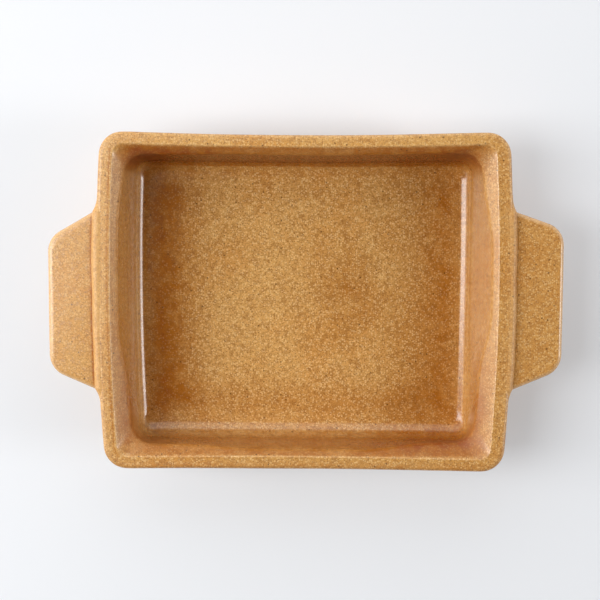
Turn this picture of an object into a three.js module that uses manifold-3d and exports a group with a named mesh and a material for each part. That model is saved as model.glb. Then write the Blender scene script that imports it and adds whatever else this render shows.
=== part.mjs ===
import * as THREE from 'three';
import { mergeVertices } from 'three/addons/utils/BufferGeometryUtils.js';
import Module from 'manifold-3d';

const wasm = await Module();
wasm.setup();

const degree = Math.PI / 180;

// Overall sizes in millimetres: X runs from handle to handle, and the base stands on Z = 0 round the origin
const overallLength = 262.6;
const rimLength = 207;
const rimDepth = 172.8;
const dishHeight = 48;

// Clay, and the gap that stands for each luted seam
const wallThickness = 6.5;
const floorThickness = 7;
const seamClearance = 0.3;

// Walls: the two ends lean out more than the long sides and stand further apart at the back,
// each rim edge bows out or in a little, and the front side swings out towards its right-hand end
const rightLean = 12 * degree;
const backLean = 5.2 * degree;
const leftLean = 9 * degree;
const frontLean = 3.3 * degree;
const endBow = 2.4;
const backBow = -1.55;
const frontBow = -0.8;
const frontSwing = 0.8;
const backSpread = 0.45;
const outerCornerRadius = 12;
const rimCornerRadius = 6;
const innerCornerRadius = 5;
const floorFillet = 6;

// Rim: a flat lip on top, uneven in width, flared towards the inside, with a cove under its outer edge
const rightRimWidth = 7.6;
const backRimWidth = 5.9;
const leftRimWidth = 7;
const frontRimWidth = 7.1;
const lipFoot = 10.8;
const lipDepth = 4;
const lipEdge = 5;
const rimOuterRadius = 2;
const rimInnerRadius = 1;
const lipRadius = 1.5;
const coveRadius = 4;
const flareRadius = 4;

// Foot: a flat band round the edge of the base, with the middle cut shallow so that the dish doesn't rock
const baseRadius = 6;
const footBand = 16;
const footHollow = 1.5;

// Handles: flat tapered slabs, set a little below the rim and behind the middle of it;
// the right-hand one reaches out further, and each slant is measured from square to the rim
const handleRootWidth = 92.5;
const handleShift = 0.8;
const rightHandleExtra = 1.4;
const handleThickness = 9;
const handleDrop = 3;
const handleCornerRadius = 12;
const handleEdgeRadius = 2.5;
const rightFrontSlant = 22.8 * degree;
const rightBackSlant = 19.2 * degree;
const leftFrontSlant = 23.5 * degree;
const leftBackSlant = 30.2 * degree;

// Seam coils: a roll of clay pressed round each handle's root, thinned out along the rim past its two ends
const coilWidth = 3;
const coilTail = 8;
const coilDrop = 0.2;
const coilBelow = 3;
const coilShoulder = 2;
const coilCrown = 4;

// Facets
const cornerSegments = 7;
const sideSegments = 8;
const filletSegments = 4;
const edgeSegments = 3;

// Heights and insets that several pieces share
const floorTop = footHollow + floorThickness;
const endFace = rimLength / 2 + endBow;
const handleTop = dishHeight - handleDrop;
const handleBottom = handleTop - handleThickness;

// A line with its marked vertices rounded by arcs, each arc limited to half of the shorter side beside it
function roundedLine(vertices, segments) {
  const points = [];
  vertices.forEach((vertex, index) => {
    if (!vertex.fillet) {
      points.push({ at: vertex.at, corner: vertex.corner });
      return;
    }
    const back = vertices[index - 1].at.clone().sub(vertex.at);
    const ahead = vertices[index + 1].at.clone().sub(vertex.at);
    const halfAngle = back.angleTo(ahead) / 2;
    const room = Math.min(back.length(), ahead.length()) / 2;
    const reach = Math.min(vertex.fillet / Math.tan(halfAngle), room);
    const radius = reach * Math.tan(halfAngle);
    const bisector = back.clone().normalize().add(ahead.clone().normalize()).normalize();
    const centre = vertex.at.clone().addScaledVector(bisector, radius / Math.sin(halfAngle));
    const spoke = vertex.at.clone().addScaledVector(back.normalize(), reach).sub(centre);
    const turn = Math.sign(ahead.cross(back)) * (Math.PI - 2 * halfAngle);
    for (let step = 0; step <= segments; step += 1) {
      const tip = spoke.clone().rotateAround(new THREE.Vector2(), turn * step / segments);
      points.push({ at: tip.add(centre), corner: vertex.corner });
    }
  });
  return points;
}

// A profile vertex: its inset from the rim's outline, its height, and the plan radius of the ring there
function profileVertex(inset, height, corner, fillet = 0) {
  return { at: new THREE.Vector2(inset, height), corner, fillet };
}

// The inset of a leaning wall's inner face at a height
function innerInset(lean, height) {
  return lipFoot + (dishHeight - lipDepth - height) * Math.tan(lean);
}

// The outside of a wall from the foot's hollow to the rim, moved out by a clearance
function outsideLine({ lean, rim }, clearance) {
  const wallAcross = wallThickness / Math.cos(lean);
  const base = innerInset(lean, 0) - wallAcross;
  const flareSlope = (lipFoot - rim) / lipDepth;
  const lipBottom = dishHeight - lipEdge;
  const coveHeight = (lipBottom * flareSlope - base) / (flareSlope - Math.tan(lean));
  const coveInset = innerInset(lean, coveHeight) - wallAcross;
  const corner = outerCornerRadius;
  return [
    profileVertex(base + footBand + footHollow, footHollow, corner),
    profileVertex(base + footBand, 0, corner),
    profileVertex(base - clearance, 0, corner, baseRadius),
    profileVertex(coveInset - clearance, coveHeight - clearance, corner, coveRadius),
    profileVertex(-clearance, lipBottom - clearance, corner, lipRadius),
    profileVertex(-clearance, dishHeight, corner, clearance ? 0 : rimOuterRadius),
  ];
}

// The inside of a wall from the rim's inner edge to the floor, ending on the middle line of the dish
function insideLine({ lean, rim }) {
  return [
    profileVertex(rim, dishHeight, rimCornerRadius, rimInnerRadius),
    profileVertex(lipFoot, dishHeight - lipDepth, innerCornerRadius, flareRadius),
    profileVertex(innerInset(lean, floorTop), floorTop, innerCornerRadius, floorFillet),
    profileVertex(rimDepth / 2, floorTop, innerCornerRadius),
  ];
}

// One ring round the dish, anticlockwise from the right-hand end: four bowed sides with corner arcs between
function planRing(wallPoints) {
  const radius = wallPoints[0].corner;
  const reaches = [rimLength / 2, rimDepth / 2, rimLength / 2, rimDepth / 2];
  const bows = [endBow, backBow, endBow, frontBow];
  const sides = wallPoints.map((point, quarter) => (
    { out: reaches[quarter] - point.at.x, bow: bows[quarter], height: point.at.y }));
  const ring = [];
  sides.forEach((side, quarter) => {
    const before = sides.at(quarter - 1);
    const following = sides[(quarter + 1) % sides.length];
    const place = (out, along, height) => {
      const point = new THREE.Vector3(out, along, height);
      point.applyAxisAngle(new THREE.Vector3(0, 0, 1), quarter * Math.PI / 2);
      const towardsFront = Math.max(-point.y, 0) / (rimDepth / 2);
      point.y -= frontSwing * towardsFront * point.x / (rimLength / 2);
      point.x *= 1 + backSpread / (rimLength / 2) * point.y / (rimDepth / 2);
      ring.push(point);
    };
    for (let step = 0; step <= sideSegments; step += 1) {
      const share = step / sideSegments;
      const along = THREE.MathUtils.lerp(radius - before.out, following.out - radius, share);
      place(side.out + side.bow * (1 - (2 * share - 1) ** 2), along, side.height);
    }
    for (let step = 1; step < cornerSegments; step += 1) {
      const share = step / cornerSegments;
      const angle = share * Math.PI / 2;
      const height = THREE.MathUtils.lerp(side.height, following.height, share);
      const along = following.out - radius + radius * Math.sin(angle);
      place(side.out - radius + radius * Math.cos(angle), along, height);
    }
  });
  return ring;
}

// A closed skin over rings of equal count, fanned to a middle point at its first and last ring
function loft(rings) {
  const count = rings[0].length;
  const points = rings.flat();
  const first = points.length;
  const last = first + 1;
  points.push(new THREE.Vector3(0, 0, rings[0][0].z));
  points.push(new THREE.Vector3(0, 0, rings.at(-1)[0].z));
  const faces = [];
  for (let along = 0; along < count; along += 1) {
    const following = (along + 1) % count;
    faces.push(first, following, along);
    for (let low = 0; low < first - count; low += count) {
      const high = low + count;
      faces.push(low + along, low + following, high + following);
      faces.push(low + along, high + following, high + along);
    }
    faces.push(last, first - count + along, first - count + following);
  }
  const geometry = new THREE.BufferGeometry().setFromPoints(points);
  geometry.setIndex(faces);
  return geometry;
}

// A skin through the profiles of the four walls, anticlockwise from the right-hand end
function loftWalls(profileOf) {
  const profiles = [
    { lean: rightLean, rim: rightRimWidth },
    { lean: backLean, rim: backRimWidth },
    { lean: leftLean, rim: leftRimWidth },
    { lean: frontLean, rim: frontRimWidth },
  ].map(profileOf);
  return loft(profiles[0].map((point, index) => planRing(profiles.map((profile) => profile[index]))));
}

// The dish itself: floor, walls and rim in one moulded piece, with the floor's middle left to the fan
function dishGeometry() {
  return loftWalls((wall) => {
    const vertices = [...outsideLine(wall, 0), ...insideLine(wall)];
    return roundedLine(vertices, filletSegments).slice(0, -1);
  });
}

// The space that the dish takes up at a seam, filled to the rim
function dishEnvelope() {
  return loftWalls((wall) => roundedLine(outsideLine(wall, seamClearance), filletSegments));
}

function solidFrom(geometry) {
  const bare = geometry.clone();
  bare.deleteAttribute('normal');
  bare.deleteAttribute('uv');
  const merged = mergeVertices(bare);
  const vertProperties = new Float32Array(merged.attributes.position.array);
  const triVerts = new Uint32Array(merged.index.array);
  return new wasm.Manifold(new wasm.Mesh({ numProp: 3, vertProperties, triVerts }));
}

function geometryFrom(solid) {
  const mesh = solid.getMesh();
  const geometry = new THREE.BufferGeometry();
  geometry.setAttribute('position', new THREE.BufferAttribute(mesh.vertProperties, mesh.numProp));
  geometry.setIndex(new THREE.BufferAttribute(mesh.triVerts, 1));
  geometry.computeVertexNormals();
  return geometry;
}

// A slab between two heights, grown all round by a spread, with quarter ovals for edges
function slab(plan, bottom, top, edgeInset, edgeHeight, spread = 0) {
  const geometry = new THREE.ExtrudeGeometry(plan, {
    depth: top - bottom + 2 * spread - 2 * edgeHeight,
    bevelThickness: edgeHeight,
    bevelSize: edgeInset,
    bevelOffset: spread - edgeInset,
    bevelSegments: edgeSegments,
    curveSegments: cornerSegments,
  });
  return geometry.translate(0, 0, bottom - spread + edgeHeight);
}

// A handle's plan, with x out from the middle of the rim's end: square under the lip, then tapered
function handlePlan(slants, shift, reach) {
  const rootHalf = handleRootWidth / 2;
  const [lowHalf, highHalf] = slants.map((slant) => rootHalf - reach * Math.tan(slant));
  const vertices = [
    { at: new THREE.Vector2(-lipFoot, shift - rootHalf) },
    { at: new THREE.Vector2(0, shift - rootHalf) },
    { at: new THREE.Vector2(reach, shift - lowHalf), fillet: handleCornerRadius },
    { at: new THREE.Vector2(reach, shift + highHalf), fillet: handleCornerRadius },
    { at: new THREE.Vector2(0, shift + rootHalf) },
    { at: new THREE.Vector2(-lipFoot, shift + rootHalf) },
  ];
  return new THREE.Shape(roundedLine(vertices, cornerSegments).map((point) => point.at));
}

// A coil's plan: along the rim's bow to each tail, with a hollow curve from there out to the handle's slant
function coilPlan(slants, shift) {
  const rootHalf = handleRootWidth / 2;
  const tailHalf = rootHalf + coilTail;
  const rimStraight = rimDepth / 2 - outerCornerRadius;
  const tails = [shift - tailHalf, shift + tailHalf];
  const [lowRim, highRim] = tails.map((tail) => -endBow * (tail / rimStraight) ** 2);
  const [lowHalf, highHalf] = slants.map((slant) => rootHalf - coilWidth * Math.tan(slant));
  const plan = new THREE.Shape();
  plan.moveTo(-lipFoot, tails[0]);
  plan.lineTo(lowRim, tails[0]);
  plan.quadraticCurveTo(0, shift - rootHalf, coilWidth, shift - lowHalf);
  plan.lineTo(coilWidth, shift + highHalf);
  plan.quadraticCurveTo(0, shift + rootHalf, highRim, tails[1]);
  plan.lineTo(-lipFoot, tails[1]);
  return plan;
}

function handleGeometry(plan, spread) {
  return slab(plan, handleBottom, handleTop, handleEdgeRadius, handleEdgeRadius, spread);
}

function coilGeometry(plan) {
  return slab(plan, handleBottom - coilBelow, dishHeight - coilDrop, coilShoulder, coilCrown);
}

// A glossy ochre glaze over buff clay
function glaze(colour, roughness) {
  return new THREE.MeshStandardMaterial({ color: colour, roughness, metalness: 0 });
}

const dish = new THREE.Group();

const dishBody = new THREE.Mesh(dishGeometry(), glaze(0xbf8a46, 0.3));
dishBody.name = 'dish_body';
dish.add(dishBody);

// Each end of the dish: a turn about Z, its slants and shift in that turned frame, and how much longer it is
const ends = [
  {
    side: 'right',
    turn: 0,
    slants: [rightFrontSlant, rightBackSlant],
    shift: handleShift,
    extra: rightHandleExtra,
  },
  {
    side: 'left',
    turn: Math.PI,
    slants: [leftBackSlant, leftFrontSlant],
    shift: -handleShift,
    extra: -rightHandleExtra,
  },
];

ends.forEach(({ side, turn, slants, shift, extra }) => {
  const envelope = solidFrom(dishEnvelope().rotateZ(-turn).translate(-endFace, 0, 0));
  const reach = (overallLength + extra) / 2 - endFace;
  const plan = handlePlan(slants, shift, reach);
  const handleSlab = solidFrom(handleGeometry(plan, 0));
  const handleSpace = solidFrom(handleGeometry(plan, seamClearance));
  const coilSlab = solidFrom(coilGeometry(coilPlan(slants, shift)));

  const handle = new THREE.Mesh(geometryFrom(handleSlab.subtract(envelope)), glaze(0xc99650, 0.28));
  handle.name = `${side}_handle`;
  const coilSolid = coilSlab.subtract(envelope).subtract(handleSpace);
  const coil = new THREE.Mesh(geometryFrom(coilSolid), glaze(0xb47c3c, 0.32));
  coil.name = `${side}_seam_coil`;

  const end = new THREE.Group();
  end.rotation.z = turn;
  end.position.set(endFace * Math.cos(turn), 0, 0);
  end.add(handle, coil);
  dish.add(end);
});

export default dish;
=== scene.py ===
import math

import bpy
import numpy as np
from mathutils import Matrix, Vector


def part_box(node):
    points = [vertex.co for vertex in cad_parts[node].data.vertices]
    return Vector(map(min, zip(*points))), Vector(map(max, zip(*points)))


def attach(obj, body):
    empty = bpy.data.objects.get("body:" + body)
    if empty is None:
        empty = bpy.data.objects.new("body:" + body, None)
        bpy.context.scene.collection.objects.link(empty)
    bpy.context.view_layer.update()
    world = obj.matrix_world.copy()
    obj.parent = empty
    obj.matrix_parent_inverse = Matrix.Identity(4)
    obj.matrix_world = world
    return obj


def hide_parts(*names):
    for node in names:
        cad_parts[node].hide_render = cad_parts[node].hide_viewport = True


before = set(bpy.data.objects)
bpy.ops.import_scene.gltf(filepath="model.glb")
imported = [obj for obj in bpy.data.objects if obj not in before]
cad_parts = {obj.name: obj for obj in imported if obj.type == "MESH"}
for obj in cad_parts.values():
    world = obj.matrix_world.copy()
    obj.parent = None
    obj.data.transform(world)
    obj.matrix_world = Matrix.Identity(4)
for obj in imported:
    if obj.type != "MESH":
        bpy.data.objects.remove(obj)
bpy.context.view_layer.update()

bodyHigh = np.array(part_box("dish_body")[1])


def linear(red, green, blue):  # screen colour 0 to 255 to the shader's linear colour
    share = np.array([red, green, blue]) / 255
    shade = np.where(share > 0.04045, ((share + 0.055) / 1.055) ** 2.4, share / 12.92)
    return (*shade.tolist(), 1.0)


def eased(value, low, high):  # 0 below low, 1 above high, smooth between
    share = np.clip((value - low) / (high - low), 0, 1)
    return share * share * (3 - 2 * share)


# a slow unevenness of about -1 to 1, three crossed sine waves: the hand that pressed the clay
def handWave(x, y, z, length, phase):
    turn = 2 * math.pi / length
    first = np.sin(turn * (x + 0.35 * y + 0.6 * z) + phase)
    second = np.sin(turn * (0.8 * y - 0.5 * x + 0.4 * z) * 0.73 + 2.1 * phase + 0.7)
    third = np.sin(turn * (0.9 * z + 0.4 * x - 0.6 * y) * 1.31 + 0.6 * phase + 1.9)
    return (first + second + third) / 3


# a path with its marked vertices turned into arcs; a vertex is x, y, fillet and then values of its own.
# An arc starts fillet / tan(half angle) before its vertex and turns about a centre on the bisector,
# and each stretch between arcs is split evenly. A row of the result is x, y, bend and those values,
# with bend rising to +1 half way round an edge and falling to -1 in a hollow.
def roundedPath(vertices, arcSteps, stretchSteps):
    rows = []
    for index, (x, y, fillet, *values) in enumerate(vertices):
        here = np.array([x, y])
        if fillet == 0:
            rows.append(np.array([[x, y, 0.0, *values]]))
            continue
        back = np.array(vertices[index - 1][:2]) - here
        ahead = np.array(vertices[index + 1][:2]) - here
        room = min(np.linalg.norm(back), np.linalg.norm(ahead)) / 2
        back, ahead = back / np.linalg.norm(back), ahead / np.linalg.norm(ahead)
        half = math.acos(float(back @ ahead)) / 2
        reach = min(fillet / math.tan(half), room)
        bisector = (back + ahead) / np.linalg.norm(back + ahead)
        centre = here + bisector * reach * math.tan(half) / math.sin(half)
        side = math.copysign(1, ahead[0] * back[1] - ahead[1] * back[0])
        share = np.linspace(0, 1, arcSteps + 1)
        angle = side * (math.pi - 2 * half) * share
        spoke = here + back * reach - centre
        arc = np.empty((arcSteps + 1, 3 + len(values)))
        arc[:, 0] = centre[0] + spoke[0] * np.cos(angle) - spoke[1] * np.sin(angle)
        arc[:, 1] = centre[1] + spoke[0] * np.sin(angle) + spoke[1] * np.cos(angle)
        arc[:, 2] = -side * np.sin(math.pi * share)
        arc[:, 3:] = values
        rows.append(arc)
    joined = [rows[0]]
    for before, after, steps in zip(rows, rows[1:], stretchSteps):
        share = np.linspace(0, 1, steps + 2)[1:-1, None]
        between = before[-1] * (1 - share) + after[0] * share
        between[:, 2] = 0
        joined += [between, after]
    return np.concatenate(joined)


# a closed skin over a grid of rings (ring, place round it, xyz), fanned to a middle point at both ends;
# values are per-point attributes on the same grid, and a middle point takes the mean of its ring
def skinMesh(name, rings, values):
    ringCount, count = rings.shape[:2]
    first = ringCount * count
    points = np.concatenate([rings.reshape(-1, 3), rings[0].mean(0)[None], rings[-1].mean(0)[None]])
    place = np.arange(count)
    following = np.roll(place, -1)
    low = (np.arange(ringCount - 1) * count)[:, None]
    quads = np.stack([low + place, low + following, low + count + following, low + count + place], -1)
    bottom = np.stack([np.full(count, first), following, place], -1)
    top = np.stack([np.full(count, first + 1), first - count + place, first - count + following], -1)
    faces = quads.reshape(-1, 4).tolist() + bottom.tolist() + top.tolist()
    mesh = bpy.data.meshes.new(name)
    mesh.from_pydata(points, [], faces)
    mesh.shade_smooth()
    for label, grid in values.items():
        flat = np.concatenate([grid.reshape(-1), [grid[0].mean(), grid[-1].mean()]])
        mesh.attributes.new(label, "FLOAT", "POINT").data.foreach_set("value", flat.astype(np.float32))
    piece = bpy.data.objects.new(name, mesh)
    bpy.context.scene.collection.objects.link(piece)
    return piece


# the grid pushed along its own normals, which are the cross product of its two directions
def pushed(rings, amount):
    around = np.roll(rings, -1, 1) - np.roll(rings, 1, 1)
    along = np.gradient(rings, axis=0)
    normal = np.cross(around, along)
    length = np.linalg.norm(normal, axis=2, keepdims=True)
    return rings + normal / np.maximum(length, 1e-12) * amount[..., None]


# dish body
dish = {
    "walls": {  # right, back, left, front
        "lean": (12.0, 6.3, 9.9, 2.1), "outerLean": (12.0, 5.2, 9.0, 3.3),  # degrees off upright
        "rimWidth": (0.0076, 0.0059, 0.007, 0.0067),
        "lipFoot": (0.0108, 0.0101, 0.0106, 0.0099), "lipDepth": (0.0031, 0.004, 0.004, 0.004),
        "floorFillet": (0.006, 0.006, 0.006, 0.0095),
        "bow": (0.0024, -0.00155, 0.0024, -0.0008),  # how far each rim edge swells out
        "floorBow": (0.2, 0.25, 0.65, 0.25),  # share of the rim's bow that is left at the floor
        # how far the flare runs on in at the wall's two ends, anticlockwise, and from which share of
        # the half wall
        "swellStart": (0.0042, 0.0, 0.0012, 0.0022), "swellStartFrom": (0.12, 0.4, 0.68, 0.3),
        "swellEnd": (0.0024, 0.001, 0.003, 0.0036), "swellEndFrom": (0.42, 0.4, 0.22, 0.38),
        # how amber the glaze lies, from the outer rim to the floor: partly thicker glaze, partly painted
        # shade where
        #         # a side gets little light, most of all on the back wall, its fillet and the back and front
        #         flares
        "outerRimAmber": (0.32, 0.04, 0.14, 0.5), "rimAmber": (0.32, 0.04, 0.14, 0.24),
        "rimLine": (0.0, 0.0, 0.65, 0.0),
        "bevelAmber": (0.38, 0.82, 0.45, 0.77), "wallAmber": (0.46, 2.2, 0.32, 0.95),
        "upperFilletAmber": (0.45, 1.2, 0.0, 0.5), "filletAmber": (0.4, 0.6, 0.35, 0.05),
        # how much more amber it lies at the wall's two ends, on the flare and on the wall below it, partly
        #         # thicker glaze and partly painted shade
        "flareStartAmber": (0.6, 0.5, 0.0, 0.0), "flareEndAmber": (0.0, 1.0, 0.6, 0.95),
        "wallStartAmber": (-0.2, 0.0, 0.0, 0.0), "wallEndAmber": (0.0, 0.0, 0.0, 0.9),
    },
    # how far an edge wears thin, how calm the grain and how satin the gloss is, and how much of the
    # floor's border colour it takes
    "finish": {
        "foot": {"amber": 0.0}, "base": {"wear": 0.3, "amber": 0.95, "calm": 0.3},
        "cove": {"amber": 0.3, "calm": 0.5, "satin": 0.05},
        "lip": {"wear": 0.4, "amber": 0.1, "calm": 0.2, "satin": 0.1},
        "outerRim": {"wear": 0.1, "calm": 0.2, "satin": 0.25},
        "rim": {"calm": 0.2, "satin": 0.15}, "rimLine": {"calm": 0.2, "satin": 0.12},
        "rimEdge": {"wear": 0.35, "calm": 0.2, "satin": 0.15},
        "flare": {"calm": 0.35, "satin": 0.2}, "wall": {"calm": 0.3, "satin": 0.13},
        "upperFillet": {"calm": 0.3, "border": 0.1, "satin": 0.14},
        "fillet": {"calm": 0.15, "border": 0.35, "satin": 0.05}, "floor": {"border": 1.0},
    },
    "wall": 0.0065, "floor": 0.007, "outerLipFoot": 0.0108, "lipEdge": 0.005,
    "outerCorner": 0.012, "rimCorner": 0.006, "flareCorner": 0.0105, "innerCorner": 0.0075,
    "rimOuterRadius": 0.002, "rimInnerRadius": 0.001, "lipRadius": 0.0015,
    "coveRadius": 0.004, "flareRadius": 0.0048, "filletShare": 0.98,
    "baseRadius": 0.006, "footBand": 0.016, "footHollow": 0.0015, "footRadius": 0.0008,
    "rimLineFrom": 0.0024, "rimLinePeak": 0.0011,  # a darker line, this far from the rim's inner edge
    "bevelStart": 0.25,  # share of the flare after which it has its own colour
    # the wall's own colour: from this far below the flare's foot to this many fillets above the floor,
    # and how the wall follows bow, swell and spread there
    "colourFrom": 0.003, "colourTo": 1.25,
    "under": {"bow": 0.95, "swell": 0.94, "spread": 0.05}, "aboveSpread": 0.8,
    "frontSwing": 0.0008,  # the front side stands further out at its right-hand end
    "backSpread": 0.00045, "floorSpread": 0.0002,  # the ends stand apart at the back, the floor's most
    # share of the half wall over which the flare runs in, and how far it sinks for each metre in
    "swellOver": 0.5, "swellDrop": 1.15,
    "thickBand": (0.2, 0.9), "cornerFrom": 0.86, "cornerSatin": 0.28,  # glaze towards the corners
    "sideSteps": 72, "cornerSteps": 18, "arcSteps": 9, "floorRings": 26, "softening": 4,
    # rings between the profile's vertices
    "stretchSteps": (6, 1, 4, 12, 3, 3, 4, 1, 1, 1, 4, 3, 10, 2, 0, 4),
    "waveLength": 0.075, "waveHeight": 0.00022, "wavePhase": 0.4,
    # how amber the floor gets beside each wall, from one share of the half dish to another: partly glaze
    #     # pooled there, partly painted shade, the most beside the left wall, whose shadow falls on the floor
    "border": {"right": (1.05, 0.3, 0.95), "left": (1.35, 0.4, 0.86), "back": (0.32, 0.4, 0.9),
               "front": (0.95, 0.4, 0.9)},
    "blushPlace": (0.023, 0.003), "blushSize": 0.021, "blush": 0.62, "blushRagged": 0.45, "blushPhase": 2.6,
}
walls = dish["walls"]
rimHeight = bodyHigh[2]
endHalf = bodyHigh[0] - walls["bow"][0]  # rim's half length at its corners
sideHalf = bodyHigh[1]
floorTop = dish["footHollow"] + dish["floor"]
profileColumns = ("inset", "height", "bend", "radius", "wear", "amber", "calm", "border", "satin",
                  "bow", "swell", "spread")
columnOf = profileColumns.index


# a vertex of a wall's profile: inset from the rim outline, height and fillet, the plan radius and the
# finish there, and how far it follows the rim's bow, the flare's swell and the floor's spread
def profilePoint(inset, height, fillet, radius, finish, amber=0.0, bow=1.0, swell=0.0, spread=0.0):
    finishes = {"amber": amber, **dish["finish"][finish]}
    values = [finishes.get(label, 0.0) for label in ("wear", "amber", "calm", "border", "satin")]
    return (inset, height, fillet, radius, *values, bow, swell, spread)


# one wall's profile: foot, outside, cove, lip, rim, flare, wall and floor, straight stretches with
# rounded vertices. The floor's fillet is an arc in two halves, whose vertices stand
# radius (tan(turn / 2) - tan(turn / 4)) from the corner.
def wallProfile(wall):
    lean, outerLean = math.radians(wall["lean"]), math.radians(wall["outerLean"])
    slope, outerSlope = math.tan(lean), math.tan(outerLean)
    rimWidth, lipFoot, fillet, bow = (wall[key] for key in ("rimWidth", "lipFoot", "floorFillet", "floorBow"))
    outer, rimCorner, flareCorner, inner = (
        dish[key] for key in ("outerCorner", "rimCorner", "flareCorner", "innerCorner"))
    footHeight = rimHeight - wall["lipDepth"]
    flare = (dish["outerLipFoot"] - rimWidth) / wall["lipDepth"]
    lipBottom = rimHeight - dish["lipEdge"]
    base = dish["outerLipFoot"] + footHeight * outerSlope - dish["wall"] / math.cos(outerLean)
    cove = (lipBottom * flare - base) / (flare - outerSlope)
    hollow = base + dish["footBand"] + dish["footHollow"]
    bevelInset, bevelHeight, bevelCorner = (
        edge + (foot - edge) * dish["bevelStart"]
        for edge, foot in ((rimWidth, lipFoot), (rimHeight, footHeight), (rimCorner, flareCorner)))
    under = footHeight - dish["colourFrom"]
    above = floorTop + dish["colourTo"] * fillet
    aboveBow = bow + (1 - bow) * (above - floorTop) / (footHeight - floorTop)
    floorCorner = lipFoot + (footHeight - floorTop) * slope
    turn = math.pi / 2 - lean
    off = fillet * (math.tan(turn / 2) - math.tan(turn / 4))
    upper = (floorCorner - off * math.sin(lean), floorTop + off * math.cos(lean))
    rounded = fillet * dish["filletShare"]
    lineFrom, linePeak = rimWidth - dish["rimLineFrom"], rimWidth - dish["rimLinePeak"]
    atFloor = {"bow": bow, "spread": 1.0}
    vertices = [
        profilePoint(hollow + 2 * dish["footBand"], dish["footHollow"], 0, outer, "foot"),
        profilePoint(hollow, dish["footHollow"], dish["footRadius"], outer, "foot"),
        profilePoint(base + dish["footBand"], 0, dish["footRadius"], outer, "foot"),
        profilePoint(base, 0, dish["baseRadius"], outer, "base"),
        profilePoint(base - cove * outerSlope, cove, dish["coveRadius"], outer, "cove"),
        profilePoint(0, lipBottom, dish["lipRadius"], outer, "lip"),
        profilePoint(0, rimHeight, dish["rimOuterRadius"], outer, "outerRim", wall["outerRimAmber"]),
        profilePoint(lineFrom, rimHeight, 0, rimCorner, "rim", wall["rimAmber"]),
        profilePoint(linePeak, rimHeight, 0, rimCorner, "rimLine", wall["rimAmber"] + wall["rimLine"]),
        profilePoint(rimWidth, rimHeight, dish["rimInnerRadius"], rimCorner, "rimEdge", wall["rimAmber"]),
        profilePoint(bevelInset, bevelHeight, 0, bevelCorner, "flare", wall["bevelAmber"],
                     swell=dish["bevelStart"]),
        profilePoint(lipFoot, footHeight, dish["flareRadius"], flareCorner, "flare", wall["bevelAmber"],
                     swell=1.0),
        profilePoint(lipFoot + (footHeight - under) * slope, under, 0, flareCorner, "wall", wall["wallAmber"],
                     **dish["under"]),
        profilePoint(lipFoot + (footHeight - above) * slope, above, 0, inner, "wall", wall["wallAmber"],
                     bow=aboveBow, spread=dish["aboveSpread"]),
        profilePoint(*upper, rounded, inner, "upperFillet", wall["upperFilletAmber"], **atFloor),
        profilePoint(floorCorner + off, floorTop, rounded, inner, "fillet", wall["filletAmber"], **atFloor),
        profilePoint(floorCorner + 2 * fillet, floorTop, 0, inner, "floor", **atFloor),
    ]
    return roundedPath(vertices, dish["arcSteps"], dish["stretchSteps"])
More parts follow.
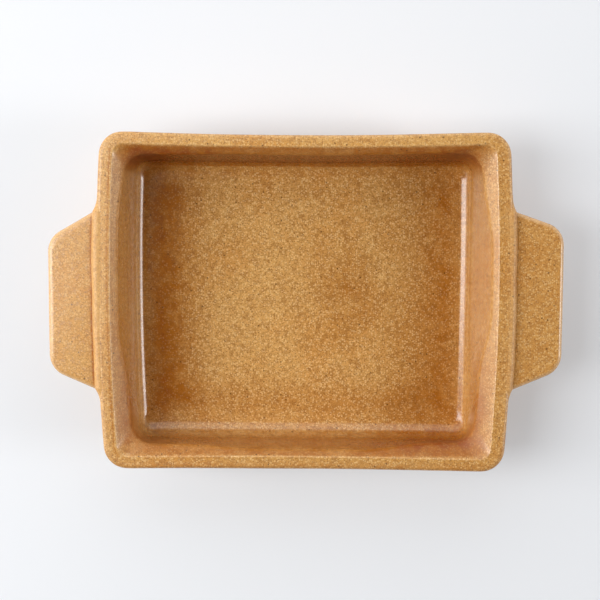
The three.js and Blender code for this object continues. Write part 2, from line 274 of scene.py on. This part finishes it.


# a ring for each profile point: four sides that swell out by bow (1 - t squared) with quarter circles
# between, the heights and values blended round the corners. At the flare's foot a side runs in by a
# smooth step towards each corner and sinks as it goes, and the glaze there is more amber and more satin;
# the extra amber is partly thicker glaze and partly painted shade.
# Each quarter is made facing +X and turned, the front swings out and the ends spread towards the back.
# A column of wallShare says how much of each wall its place takes.
def dishRings(profiles):
    t = np.linspace(-1, 1, dish["sideSteps"] + 1)[None, :]
    share = np.linspace(0, 1, dish["cornerSteps"] + 1)[None, 1:-1]
    angle = share * math.pi / 2
    radius, border, swell, spread = (
        profiles[0][:, columnOf(label), None] for label in ("radius", "border", "swell", "spread"))
    lowWall = spread * (1 - border) ** 2
    middles = [half - profile[:, columnOf("inset"), None] + bow
               for half, profile, bow in zip([endHalf, sideHalf] * 2, profiles, walls["bow"])]
    sags = [bow * profile[:, columnOf("bow"), None] for bow, profile in zip(walls["bow"], profiles)]
    starts, ends = ([amount * swell for amount in walls[key]] for key in ("swellStart", "swellEnd"))
    own = np.concatenate([np.ones(t.shape[1]), 1 - share[0]])
    places = len(own)
    wallShare = np.zeros((4, 4 * places))
    quarters, drops, darkerBands = [], [], {"flare": [], "wall": []}
    for turn in range(4):
        following = (turn + 1) % 4
        wallShare[turn, turn * places:(turn + 1) * places] = own
        wallShare[following, turn * places:(turn + 1) * places] = 1 - own
        before = middles[turn - 1] - sags[turn - 1] - ends[turn - 1]  # how far out each corner stands
        after = middles[following] - sags[following] - starts[following]
        corner = middles[turn] - sags[turn] - ends[turn]
        low, high = radius - before, after - radius
        startFrom, endFrom = walls["swellStartFrom"][turn], walls["swellEndFrom"][turn]
        runOn = starts[turn] * eased(-t, startFrom, min(startFrom + dish["swellOver"], 1))
        runOn = runOn + ends[turn] * eased(t, endFrom, min(endFrom + dish["swellOver"], 1))
        inwards = sags[turn] * t * t + runOn
        outward = np.concatenate([middles[turn] - inwards, corner - radius + radius * np.cos(angle)], 1)
        along = np.concatenate([low + (high - low) * (t + 1) / 2, high + radius * np.sin(angle)], 1)
        c, s = round(math.cos(turn * math.pi / 2)), round(math.sin(turn * math.pi / 2))
        quarters.append(np.stack([outward * c - along * s, outward * s + along * c], -1))
        turning = ends[turn] * (1 - share) + starts[following] * share
        drops.append(np.concatenate([runOn, turning], 1) * dish["swellDrop"])
        for band, rows in darkerBands.items():
            start, end = walls[band + "StartAmber"], walls[band + "EndAmber"]
            straight = start[turn] * eased(-t, *dish["thickBand"]) + end[turn] * eased(t, *dish["thickBand"])
            rows.append(np.concatenate([straight, end[turn] * (1 - share) + start[following] * share], 1))
    cornerShare = np.tile(np.concatenate([eased(np.abs(t), dish["cornerFrom"], 1), 0 * share + 1], 1), 4)
    flareExtra, wallExtra = (np.concatenate(rows, 1) for rows in darkerBands.values())
    values = np.einsum("wp,wrv->rpv", wallShare, np.stack(profiles))
    values[..., columnOf("height")] -= np.concatenate(drops, 1)
    # extra amber at the wall's ends: partly thicker glaze, partly painted shade
    values[..., columnOf("amber")] += swell * flareExtra + lowWall * wallExtra
    values[..., columnOf("satin")] += swell * cornerShare * dish["cornerSatin"]
    rings = np.concatenate([np.concatenate(quarters, 1), values[..., 1:]], -1)  # x, y, height, bend and so on
    for _ in range(dish["softening"]):
        rings = (np.roll(rings, 1, 1) + 2 * rings + np.roll(rings, -1, 1)) / 4
    towardsFront = np.maximum(-rings[..., 1], 0) / sideHalf
    rings[..., 1] -= dish["frontSwing"] * towardsFront * rings[..., 0] / endHalf
    apart = dish["backSpread"] + dish["floorSpread"] * rings[..., -1]
    rings[..., 0] *= 1 + apart / endHalf * rings[..., 1] / sideHalf
    return rings[..., :3], dict(zip(profileColumns[2:], np.moveaxis(rings[..., 3:], -1, 0)))


# how amber the floor lies beside one wall, for its share of the way out to it
def borderBeside(side, share):
    amber, start, full = dish["border"][side]
    return amber * eased(share, start, full)


def dishBody():
    profiles = [wallProfile({key: values[index] for key, values in walls.items()}) for index in range(4)]
    rings, marks = dishRings(profiles)
    # the floor and the base run on in to the middle as ever smaller rings
    shrink = np.linspace(1, 0, dish["floorRings"] + 1)[1:-1, None, None]
    upright = np.array([0, 0, 1])
    floor = rings[-1] * shrink + rings[-1] * upright * (1 - shrink)
    base = rings[0] * shrink[::-1] + rings[0] * upright * (1 - shrink[::-1])
    rings = np.concatenate([base, rings, floor])
    bend, wear, amber, calm, border, satin = (
        np.concatenate([np.repeat(marks[label][:1], len(base), 0), marks[label],
                        np.repeat(marks[label][-1:], len(floor), 0)])
        for label in ("bend", "wear", "amber", "calm", "border", "satin"))
    x, y, z = rings[..., 0], rings[..., 1], rings[..., 2]
    wave = handWave(x, y, z, dish["waveLength"], dish["wavePhase"])
    standing = np.clip((z - dish["footHollow"]) / dish["baseRadius"], 0, 1)
    rings = pushed(rings, -dish["waveHeight"] * (0.5 + 0.5 * wave) * standing)
    # the floor's border: darker and more amber towards the walls, most of all at the two ends; partly glaze
    #     # that ran thicker there, partly painted shade beside the walls, the most beside the left one
    endShare = borderBeside("right", x / endHalf) + borderBeside("left", -x / endHalf)
    sideShare = borderBeside("back", y / sideHalf) + borderBeside("front", -y / sideHalf)
    floorAmber = endShare + sideShare * (1 - endShare / 2)
    # a redder blush that the fire left on the floor, right of its middle
    blushX, blushY = dish["blushPlace"]
    ragged = 1 + dish["blushRagged"] * handWave(x, y, z, dish["blushSize"], dish["blushPhase"])
    blush = np.exp(-((x - blushX) ** 2 + (y - blushY) ** 2) / (dish["blushSize"] * ragged) ** 2)
    floorAmber = np.maximum(floorAmber, dish["blush"] * blush)
    values = {"edge": np.clip(bend, 0, 1) * wear, "amber": amber + border * (floorAmber - amber),
              "calm": calm, "satin": satin}
    return skinMesh("dish_body_glazed", rings, values)


# handles and seam coils
lug = {
    "slants": {"right": (22.8, 19.2), "left": (30.2, 23.5)},  # degrees, anticlockwise end first
    "cornerRadius": 0.012, "rootRadius": 0.004, "edgeRadius": 0.0025, "tuck": 0.008, "tuckRadius": 0.0035,
    "outlineSteps": 320, "edgeSteps": 8, "capRings": 20, "cornerSteps": 24, "stretchSteps": 8,
    "waveLength": 0.05, "waveHeight": 0.00018, "wavePhase": 1.7,
    # the right handle lies more amber than the left, partly as painted shade, since the lamps light the left
    # end most;
    # the seam's amber is thick glaze and painted shade in the crease beside the coil
    "amber": {"right": 0.36, "left": 0.12}, "seamAmber": {"right": 0.5, "left": 1.3}, "seamWidth": 0.0011,
}
coil = {
    "width": {"right": 0.0024, "left": 0.0027}, "tail": 0.008, "inside": 0.005, "lipShare": 0.0035,
    "outerSquareness": 2.9, "innerSquareness": 6.0, "tailSquareness": 2.2,
    "topLift": 0.00019, "tailSink": 0.0006,
    "innerFall": 0.12, "fallFrom": 0.001,  # it runs out on the rim at a slight slope
    "alongSteps": 260, "aroundSteps": 64, "waveLength": 0.03, "waveShare": 0.12, "wavePhase": 2.3,
    # the right coil, too, lies more amber than the left, partly as painted shade
    "edgeBand": (0.6, 0.76), "amber": {"right": 0.25, "left": 0.06}, "calm": 0.4, "satin": 0.28,
}
endFace = bodyHigh[0]


# places of a piece made at the right-hand end, x out from the rim, carried to its own end
def atEnd(rings, turn):
    c = round(math.cos(turn))
    return np.stack([c * (rings[..., 0] + endFace), c * rings[..., 1], rings[..., 2]], -1)


# a node's box in the turned frame of its own end: reach past the rim, middle and half width along it, heights
def endBox(node, turn):
    low, high = (np.array(corner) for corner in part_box(node))
    c = round(math.cos(turn))
    reach = max(abs(low[0]), abs(high[0])) - endFace
    return reach, c * (low[1] + high[1]) / 2, (high[1] - low[1]) / 2, low[2], high[2]


# how far the rim stands back from its furthest point at one end, falling as the square of the place along it
def rimLineAt(y, turn):
    spread = dish["backSpread"] * math.cos(turn) * y / sideHalf
    return spread - walls["bow"][0] * (y / (sideHalf - dish["outerCorner"])) ** 2


# a slab: its plan outline drawn in by 0 to edgeRadius along quarter circles, then shrunk to its middle
def lugPiece(side, turn):
    reach, shift, half, bottom, top = endBox(side + "_handle", turn)
    low, high = (half - reach * math.tan(math.radians(slant)) for slant in lug["slants"][side])
    tuck = -lug["tuck"]
    corners = [
        (tuck, 0, 0), (tuck, -half, lug["tuckRadius"]), (0, -half, lug["rootRadius"]),
        (reach, -low, lug["cornerRadius"]), (reach, high, lug["cornerRadius"]),
        (0, half, lug["rootRadius"]), (tuck, half, lug["tuckRadius"]), (tuck, 0, 0),
    ]
    stretches = [lug["stretchSteps"]] * (len(corners) - 1)
    outline = roundedPath(corners, lug["cornerSteps"], stretches)[:, :2] + np.array([0, shift])
    run = np.concatenate([[0], np.cumsum(np.linalg.norm(np.diff(outline, axis=0), axis=1))])
    places = np.linspace(0, run[-1], lug["outlineSteps"] + 1)[:-1]
    plan = np.stack([np.interp(places, run, outline[:, 0]), np.interp(places, run, outline[:, 1])], -1)
    tangent = np.roll(plan, -1, 0) - np.roll(plan, 1, 0)
    tangent /= np.linalg.norm(tangent, axis=1, keepdims=True)
    inward = np.stack([-tangent[:, 1], tangent[:, 0]], -1)
    quarter = np.linspace(0, math.pi / 2, lug["edgeSteps"] + 1)
    radius = lug["edgeRadius"]
    inset = radius * np.concatenate([1 - np.sin(quarter), 1 - np.cos(quarter)])
    height = np.concatenate([bottom + radius * (1 - np.cos(quarter)), top - radius * (1 - np.sin(quarter))])
    skirt = np.empty((len(inset), len(plan), 3))
    skirt[..., :2] = plan + inward * inset[:, None, None]
    skirt[..., 2] = height[:, None]
    shrink = np.linspace(1, 0, lug["capRings"] + 1)[1:-1, None, None]
    middle, upright = np.array([reach / 2, shift, 0]), np.array([0, 0, 1])
    caps = [(ring - middle) * part * (1 - upright) + middle + ring * upright
            for ring, part in ((skirt[0], shrink[::-1]), (skirt[-1], shrink))]
    rings = np.concatenate([caps[0], skirt, caps[1]])
    flat = np.zeros(len(shrink))
    bend = np.concatenate([flat, np.sin(2 * quarter), np.sin(2 * quarter), flat])
    x, y, z = rings[..., 0], rings[..., 1], rings[..., 2]
    wave = handWave(x, y, z, lug["waveLength"], lug["wavePhase"] + turn)
    rings = pushed(rings, -lug["waveHeight"] * (0.5 + 0.5 * wave))
    seamLine = rimLineAt(y, turn) + coil["width"][side]  # thick glaze and painted shade in the crease beside the coil
    seam = np.clip(1 - np.abs(x - seamLine) / lug["seamWidth"], 0, 1)
    amber = np.maximum(lug["amber"][side], lug["seamAmber"][side] * seam)
    values = {"edge": bend[:, None] + 0 * x, "amber": amber, "calm": 0 * x, "satin": 0 * x}
    return skinMesh(side + "_handle_glazed", atEnd(rings, turn), values)


# a roll along the seam: a section between an oval and a box, cos and sin each raised to a power, whose width
# falls off as a parabola along each tail while its underside climbs into the lip
def coilPiece(side, turn):
    _, shift, tailHalf, bottom, top = endBox(side + "_seam_coil", turn)
    along = np.linspace(-tailHalf, tailHalf, coil["alongSteps"] + 1)[:, None]
    y = along + shift
    fall = np.clip((tailHalf - np.abs(along)) / (coil["tail"] + coil["width"][side] / 2), 0, 1) ** 2
    rimLine = rimLineAt(y, turn)
    wave = handWave(y, 0 * y, 0 * y, coil["waveLength"], coil["wavePhase"] + turn)
    width = coil["width"][side] * fall * (1 + coil["waveShare"] * wave)
    topLevel = top + coil["topLift"] - coil["tailSink"] * (1 - fall)
    lipLevel = top - coil["lipShare"]
    lowLevel = lipLevel + (bottom - lipLevel) * fall ** 0.5
    angle = np.linspace(0, 2 * math.pi, coil["aroundSteps"] + 1)[None, :-1]
    squareness = np.where(np.cos(angle) > 0, coil["outerSquareness"], coil["innerSquareness"])
    power = 2 / (coil["tailSquareness"] + (squareness - coil["tailSquareness"]) * fall)
    across = np.sign(np.cos(angle)) * np.abs(np.cos(angle)) ** power
    upright = np.sign(np.sin(angle)) * np.abs(np.sin(angle)) ** power
    x = rimLine + (width - coil["inside"]) / 2 + across * (width + coil["inside"]) / 2
    z = (topLevel + lowLevel) / 2 + upright * (topLevel - lowLevel) / 2
    z = z - coil["innerFall"] * np.maximum(rimLine - coil["fallFrom"] - x, 0)
    rings = np.stack([x, y + 0 * x, z], -1)[:, ::-1]
    edge = eased(across * upright, *coil["edgeBand"])[:, ::-1]
    values = {"edge": edge + 0 * x, "amber": coil["amber"][side] + 0 * x, "calm": coil["calm"] + 0 * x,
              "satin": coil["satin"] + 0 * x}
    return skinMesh(side + "_coil_glazed", atEnd(rings, turn), values)


body = dishBody()
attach(body, "root")
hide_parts("dish_body")
print("dish body", len(body.data.polygons), "faces")

endPieces = []
for side, turn in (("right", 0.0), ("left", math.pi)):
    for piece, node in ((lugPiece(side, turn), side + "_handle"),
                        (coilPiece(side, turn), side + "_seam_coil")):
        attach(piece, "root")
        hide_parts(node)
        endPieces.append(piece)
        print(piece.name, len(piece.data.polygons), "faces")


# a shader node with its settings, and its inputs given as values or as links from other sockets
def putNode(tree, kind, settings, inputs):
    node = tree.nodes.new(kind)
    for label, value in settings.items():
        setattr(node, label, value)
    for label, value in inputs.items():
        if isinstance(value, bpy.types.NodeSocket):
            tree.links.new(value, node.inputs[label])
        else:
            node.inputs[label].default_value = value
    return node


def noiseValue(tree, vector, layer):
    inputs = {"Vector": vector, "Scale": layer["scale"], "Detail": layer["detail"],
              "Roughness": layer["roughness"]}
    return putNode(tree, "ShaderNodeTexNoise", {}, inputs).outputs["Fac"]


def bandValue(tree, value, low, high, lowest=0.0, highest=1.0):  # smooth step between two levels
    inputs = {"Value": value, "From Min": low, "From Max": high, "To Min": lowest, "To Max": highest}
    return putNode(tree, "ShaderNodeMapRange", {"interpolation_type": "SMOOTHSTEP"}, inputs).outputs["Result"]


def mathValue(tree, operation, first, second):
    node = putNode(tree, "ShaderNodeMath", {"operation": operation}, {0: first, 1: second})
    return node.outputs["Value"]


def product(tree, first, second):
    return mathValue(tree, "MULTIPLY", first, second)


def mixedColour(tree, share, first, second):
    inputs = {"Factor": share, "A": first, "B": second}
    return putNode(tree, "ShaderNodeMix", {"data_type": "RGBA"}, inputs).outputs["Result"]


# glaze
glazeColours = {
    # the deep amber is mostly painted shade, for the back wall and the floor beside the left wall
    "base": (216, 166, 97), "warm": (206, 143, 70), "amber": (172, 104, 28), "deepShade": (146, 70, 8),
    "pale": (234, 196, 136), "grainDark": (134, 80, 28), "speck": (72, 40, 14), "thin": (232, 196, 150),
    "clay": (205, 178, 142), "clayDark": (182, 150, 112),
}
glazeGrain = {
    # noises: scale, detail and roughness, and the levels between which they show
    "patches": {"scale": 22.0, "detail": 3.0, "roughness": 0.6, "band": (0.45, 0.68)},
    "mottle": {"scale": 150.0, "detail": 3.0, "roughness": 0.6, "band": (0.3, 0.7)},
    "blotches": {"scale": 420.0, "detail": 2.0, "roughness": 0.6, "band": (0.48, 0.62)},
    "dust": {"scale": 1500.0, "detail": 1.0, "roughness": 0.5, "band": (0.4, 0.65)},
    # grains: scale, radius and chance in each cell
    "flecks": {"scale": 950.0, "radius": 0.6, "chance": 0.75},
    "darkGrain": {"scale": 1150.0, "radius": 0.5, "chance": 0.6},
    "specks": {"scale": 330.0, "radius": 0.2, "chance": 0.33},
    "dotCore": 0.4, "chanceCore": 0.5,  # shares of radius and chance that show in full
    "warmShare": 0.5, "blotchShare": 0.35, "dustShare": 0.35, "fleckShare": 0.68, "grainShare": 0.72,
    "speckShare": 0.8, "edgeShare": 0.4, "calming": 0.75,
    "mottleSpan": (0.75, 1.25), "deepShadeBand": (1.0, 1.8),
    "thickBand": (0.2, 1.0), "thickFade": 0.72,  # how far thick glaze hides the flecks below it
    "glossBand": (0.3, 0.7), "glossSpan": (0.8, 1.2), "bumpStrength": 0.12, "bumpDistance": 0.00012,
    "footBand": (0.0024, 0.0018),  # the heights where the glaze ends and the bare foot begins
    "clayBand": (0.35, 0.65), "clayRoughness": 0.8,
}
glazeFinish = {
    "speckled_amber_glaze": {"grain": 1.0, "roughness": 0.13, "bareFoot": True},
    "speckled_amber_glaze_lugs": {"grain": 0.82, "roughness": 0.24, "bareFoot": False},
}


# round grains scattered one to a cell: a soft dot at the cell's middle, kept where the cell's own
# chance allows
def grainDots(tree, vector, layer):
    radius, chance = layer["radius"], layer["chance"]
    cells = putNode(tree, "ShaderNodeTexVoronoi", {}, {"Vector": vector, "Scale": layer["scale"]})
    drawn = putNode(tree, "ShaderNodeSeparateColor", {}, {"Color": cells.outputs["Color"]})
    dot = bandValue(tree, cells.outputs["Distance"], radius, radius * glazeGrain["dotCore"])
    kept = bandValue(tree, drawn.outputs["Red"], 1 - chance, 1 - chance * glazeGrain["chanceCore"])
    return product(tree, dot, kept)


# speckled glaze, shared by the dish and its handles: warm patches, amber where it lies thick and as painted
# shade where a side gets little light, a deeper amber beyond that, pale flecks, dark grain and a few iron
# specks
def speckleGroup():
    group = bpy.data.node_groups.new("speckledGlaze", "ShaderNodeTree")
    socket = group.interface.new_socket
    socket("Vector", in_out="INPUT", socket_type="NodeSocketVector")
    for label in ("Base", "Warm", "Amber", "Deep Shade", "Pale", "Grain Dark", "Speck"):
        socket(label, in_out="INPUT", socket_type="NodeSocketColor")
    for label in ("Thickness", "Grain"):
        socket(label, in_out="INPUT", socket_type="NodeSocketFloat")
    socket("Color", in_out="OUTPUT", socket_type="NodeSocketColor")
    socket("Height", in_out="OUTPUT", socket_type="NodeSocketFloat")
    given = group.nodes.new("NodeGroupInput").outputs
    vector, values = given["Vector"], glazeGrain
    patches, mottle, blotches, dust = (
        noiseValue(group, vector, values[label]) for label in ("patches", "mottle", "blotches", "dust"))
    flecks, dark, specks = (
        grainDots(group, vector, values[label]) for label in ("flecks", "darkGrain", "specks"))

    warm = product(group, bandValue(group, patches, *values["patches"]["band"]), values["warmShare"])
    colour = mixedColour(group, warm, given["Base"], given["Warm"])
    uneven = bandValue(group, mottle, *values["mottle"]["band"], *values["mottleSpan"])
    # the amber amount is partly thick glaze and partly painted shade
    thickAndShade = product(group, uneven, given["Thickness"])
    colour = mixedColour(group, thickAndShade, colour, given["Amber"])
    # beyond full amber a deeper amber: mostly painted shade, on the back wall and on the floor beside the
    # left wall
    colour = mixedColour(group, bandValue(group, thickAndShade, *values["deepShadeBand"]), colour, given["Deep Shade"])

    showing = bandValue(group, given["Thickness"], *values["thickBand"], values["fleckShare"],
                        values["fleckShare"] * (1 - values["thickFade"]))
    grains = [
        (bandValue(group, blotches, *values["blotches"]["band"], 0.0, values["blotchShare"]), "Grain Dark"),
        (bandValue(group, dust, *values["dust"]["band"], 0.0, values["dustShare"]), "Grain Dark"),
        (product(group, flecks, showing), "Pale"),
        (product(group, dark, values["grainShare"]), "Grain Dark"),
    ]
    for mask, label in grains:
        colour = mixedColour(group, product(group, mask, given["Grain"]), colour, given[label])
    colour = mixedColour(group, product(group, specks, values["speckShare"]), colour, given["Speck"])
    putNode(group, "NodeGroupOutput", {}, {"Color": colour, "Height": blotches})
    return group


speckles = speckleGroup()


def glazeMaterial(name, grain, roughness, bareFoot):
    material = bpy.data.materials.new(name)
    material.use_nodes = True
    tree = material.node_tree
    shader = tree.nodes["Principled BSDF"]
    shader.inputs["IOR"].default_value = 1.6
    place = putNode(tree, "ShaderNodeTexCoord", {}, {}).outputs["Object"]
    edge, amber, calm, satin = (
        putNode(tree, "ShaderNodeAttribute", {"attribute_name": label}, {}).outputs["Fac"]
        for label in ("edge", "amber", "calm", "satin"))
    lively = bandValue(tree, calm, 0.0, 1.0, grain, grain * (1 - glazeGrain["calming"]))
    inputs = {"Vector": place, "Thickness": amber, "Grain": lively}
    for label, key in (("Base", "base"), ("Warm", "warm"), ("Amber", "amber"), ("Deep Shade", "deepShade"),
                       ("Pale", "pale"), ("Grain Dark", "grainDark"), ("Speck", "speck")):
        inputs[label] = linear(*glazeColours[key])
    speck = putNode(tree, "ShaderNodeGroup", {"node_tree": speckles}, inputs)
    worn = product(tree, edge, glazeGrain["edgeShare"])
    colour = mixedColour(tree, worn, speck.outputs["Color"], linear(*glazeColours["thin"]))
    glossSpan = (roughness * share for share in glazeGrain["glossSpan"])
    gloss = bandValue(tree, speck.outputs["Height"], *glazeGrain["glossBand"], *glossSpan)
    gloss = mathValue(tree, "ADD", gloss, satin)
    if bareFoot:  # the foot stands bare, wiped clean of glaze
        height = putNode(tree, "ShaderNodeSeparateXYZ", {}, {"Vector": place}).outputs["Z"]
        foot = bandValue(tree, height, *glazeGrain["footBand"])
        mottled = bandValue(tree, speck.outputs["Height"], *glazeGrain["clayBand"])
        clay = mixedColour(tree, mottled, linear(*glazeColours["clay"]), linear(*glazeColours["clayDark"]))
        colour = mixedColour(tree, foot, colour, clay)
        gloss = mathValue(tree, "MAXIMUM", gloss, product(tree, foot, glazeGrain["clayRoughness"]))
    bump = putNode(tree, "ShaderNodeBump", {}, {
        "Strength": glazeGrain["bumpStrength"], "Distance": glazeGrain["bumpDistance"],
        "Height": speck.outputs["Height"]})
    tree.links.new(colour, shader.inputs["Base Color"])
    tree.links.new(gloss, shader.inputs["Roughness"])
    tree.links.new(bump.outputs["Normal"], shader.inputs["Normal"])
    return material


dishGlaze, lugGlaze = (glazeMaterial(name, **values) for name, values in glazeFinish.items())
body.data.materials.append(dishGlaze)
for piece in endPieces:
    piece.data.materials.append(lugGlaze)
print("glaze on", 1 + len(endPieces), "pieces")


# white paper to stand on; part of what the eye sees of it is painted light, a glow of its own white, so its
# shadow stays soft
paperValues = {
    "half": 30.0, "level": -0.0003, "colour": (228, 231, 236), "white": 0.24, "roughness": 0.9,
    "farFrom": 0.3, "farTo": 1.8, "farWhite": 0.92,  # metres from the dish, nearly all its own glow beyond
}
half, level = paperValues["half"], paperValues["level"]
paperMesh = bpy.data.meshes.new("paper")
paperCorners = [(-half, -half, level), (half, -half, level), (half, half, level), (-half, half, level)]
paperMesh.from_pydata(paperCorners, [], [(0, 1, 2, 3)])
paperSheet = bpy.data.objects.new("paper", paperMesh)
bpy.context.scene.collection.objects.link(paperSheet)
paper = bpy.data.materials.new("white_paper")
paper.use_nodes = True
paperTree = paper.node_tree
paperShader = paperTree.nodes["Principled BSDF"]
paperShader.inputs["Base Color"].default_value = linear(*paperValues["colour"])
paperShader.inputs["Roughness"].default_value = paperValues["roughness"]
rays = putNode(paperTree, "ShaderNodeLightPath", {}, {}).outputs
seen = mathValue(paperTree, "MAXIMUM", rays["Is Camera Ray"], rays["Is Glossy Ray"])
seen = mathValue(paperTree, "MAXIMUM", seen, rays["Is Transmission Ray"])
glow = putNode(paperTree, "ShaderNodeEmission", {}, {"Strength": 1.0})
paperPlace = putNode(paperTree, "ShaderNodeTexCoord", {}, {}).outputs["Object"]
away = putNode(paperTree, "ShaderNodeVectorMath", {"operation": "LENGTH"}, {0: paperPlace}).outputs["Value"]
white = bandValue(paperTree, away, paperValues["farFrom"], paperValues["farTo"], paperValues["white"],
                  paperValues["farWhite"])
paperMix = putNode(paperTree, "ShaderNodeMixShader", {}, {
    0: product(paperTree, seen, white), 1: paperShader.outputs["BSDF"], 2: glow.outputs["Emission"]})
paperTree.links.new(paperMix.outputs["Shader"], paperTree.nodes["Material Output"].inputs["Surface"])
paperMesh.materials.append(paper)
print("paper laid")

# a tall window on the left, a small one on the right, a soft sky behind, and a dim room
lightValues = {
    "window": {"place": (-0.74, 0.04, 0.86), "size": (0.44, 0.95), "watts": 10.2,
               "colour": (1.0, 0.995, 0.985)},
    "strip": {"place": (1.15, -0.12, 0.75), "size": (0.36, 0.5), "watts": 5.3, "colour": (1.0, 0.98, 0.98)},
    "sky": {"place": (-0.2, 1.2, 0.85), "size": (1.8, 1.4), "watts": 10.0, "colour": (0.98, 0.99, 1.0)},
}
# the room's walls by direction: bright on the left and right, dim behind, dark in front, hardly any
# light from the ceiling, and a white horizon where the paper ends; a band gives the directions between
# which one goes over into another
roomValues = {
    "left": 2.6, "right": 1.5, "sideBand": (-0.8, 0.8), "front": 0.02, "frontBand": (-0.75, -0.1),
    "back": 0.2, "backBand": (0.3, 0.9), "ceiling": 0.015, "ceilingBand": (0.25, 0.7),
    "horizon": 0.95, "horizonBand": (0.05, 0.1),
}


def softLamp(name, place, size, watts, colour):  # faces the dish
    lamp = bpy.data.lights.new(name, "AREA")
    lamp.shape = "RECTANGLE"
    lamp.size, lamp.size_y = size
    lamp.energy = watts
    lamp.color = colour
    holder = bpy.data.objects.new(name, lamp)
    holder.location = place
    x, y, z = place
    holder.rotation_euler = (math.atan2(math.hypot(x, y), z), 0, math.atan2(y, x) + math.pi / 2)
    bpy.context.scene.collection.objects.link(holder)


for name, values in lightValues.items():
    softLamp(name, **values)
world = bpy.data.worlds.new("room")
world.use_nodes = True
room = world.node_tree
direction = putNode(room, "ShaderNodeTexCoord", {}, {}).outputs["Generated"]
facing = putNode(room, "ShaderNodeSeparateXYZ", {}, {"Vector": direction}).outputs
sideways = bandValue(room, facing["X"], *roomValues["sideBand"], roomValues["left"], roomValues["right"])
fromFront = bandValue(room, facing["Y"], *roomValues["frontBand"], roomValues["front"], 1.0)
fromBack = bandValue(room, facing["Y"], *roomValues["backBand"], 1.0, roomValues["back"])
upwards = bandValue(room, facing["Z"], *roomValues["ceilingBand"], 1.0, roomValues["ceiling"])
strength = product(room, product(room, sideways, upwards), product(room, fromFront, fromBack))
horizon = bandValue(room, facing["Z"], *roomValues["horizonBand"], roomValues["horizon"], 0.0)
strength = mathValue(room, "MAXIMUM", strength, horizon)
room.nodes["Background"].inputs["Color"].default_value = (1.0, 1.0, 1.0, 1.0)
room.links.new(strength, room.nodes["Background"].inputs["Strength"])
bpy.context.scene.world = world

cameraValues = {"place": (-0.006, 0.060, 0.668), "degrees": (-5.363, -0.312, 0.17), "lens": 73.78,
                "sensor": 36.0}
lens = bpy.data.cameras.new("camera")
lens.lens = cameraValues["lens"]
lens.sensor_width = cameraValues["sensor"]
camera = bpy.data.objects.new("camera", lens)
camera.location = cameraValues["place"]
camera.rotation_euler = [math.radians(angle) for angle in cameraValues["degrees"]]
bpy.context.scene.collection.objects.link(camera)
bpy.context.scene.camera = camera
bpy.context.scene.view_settings.view_transform = "Standard"
print("room, lamps and camera set")
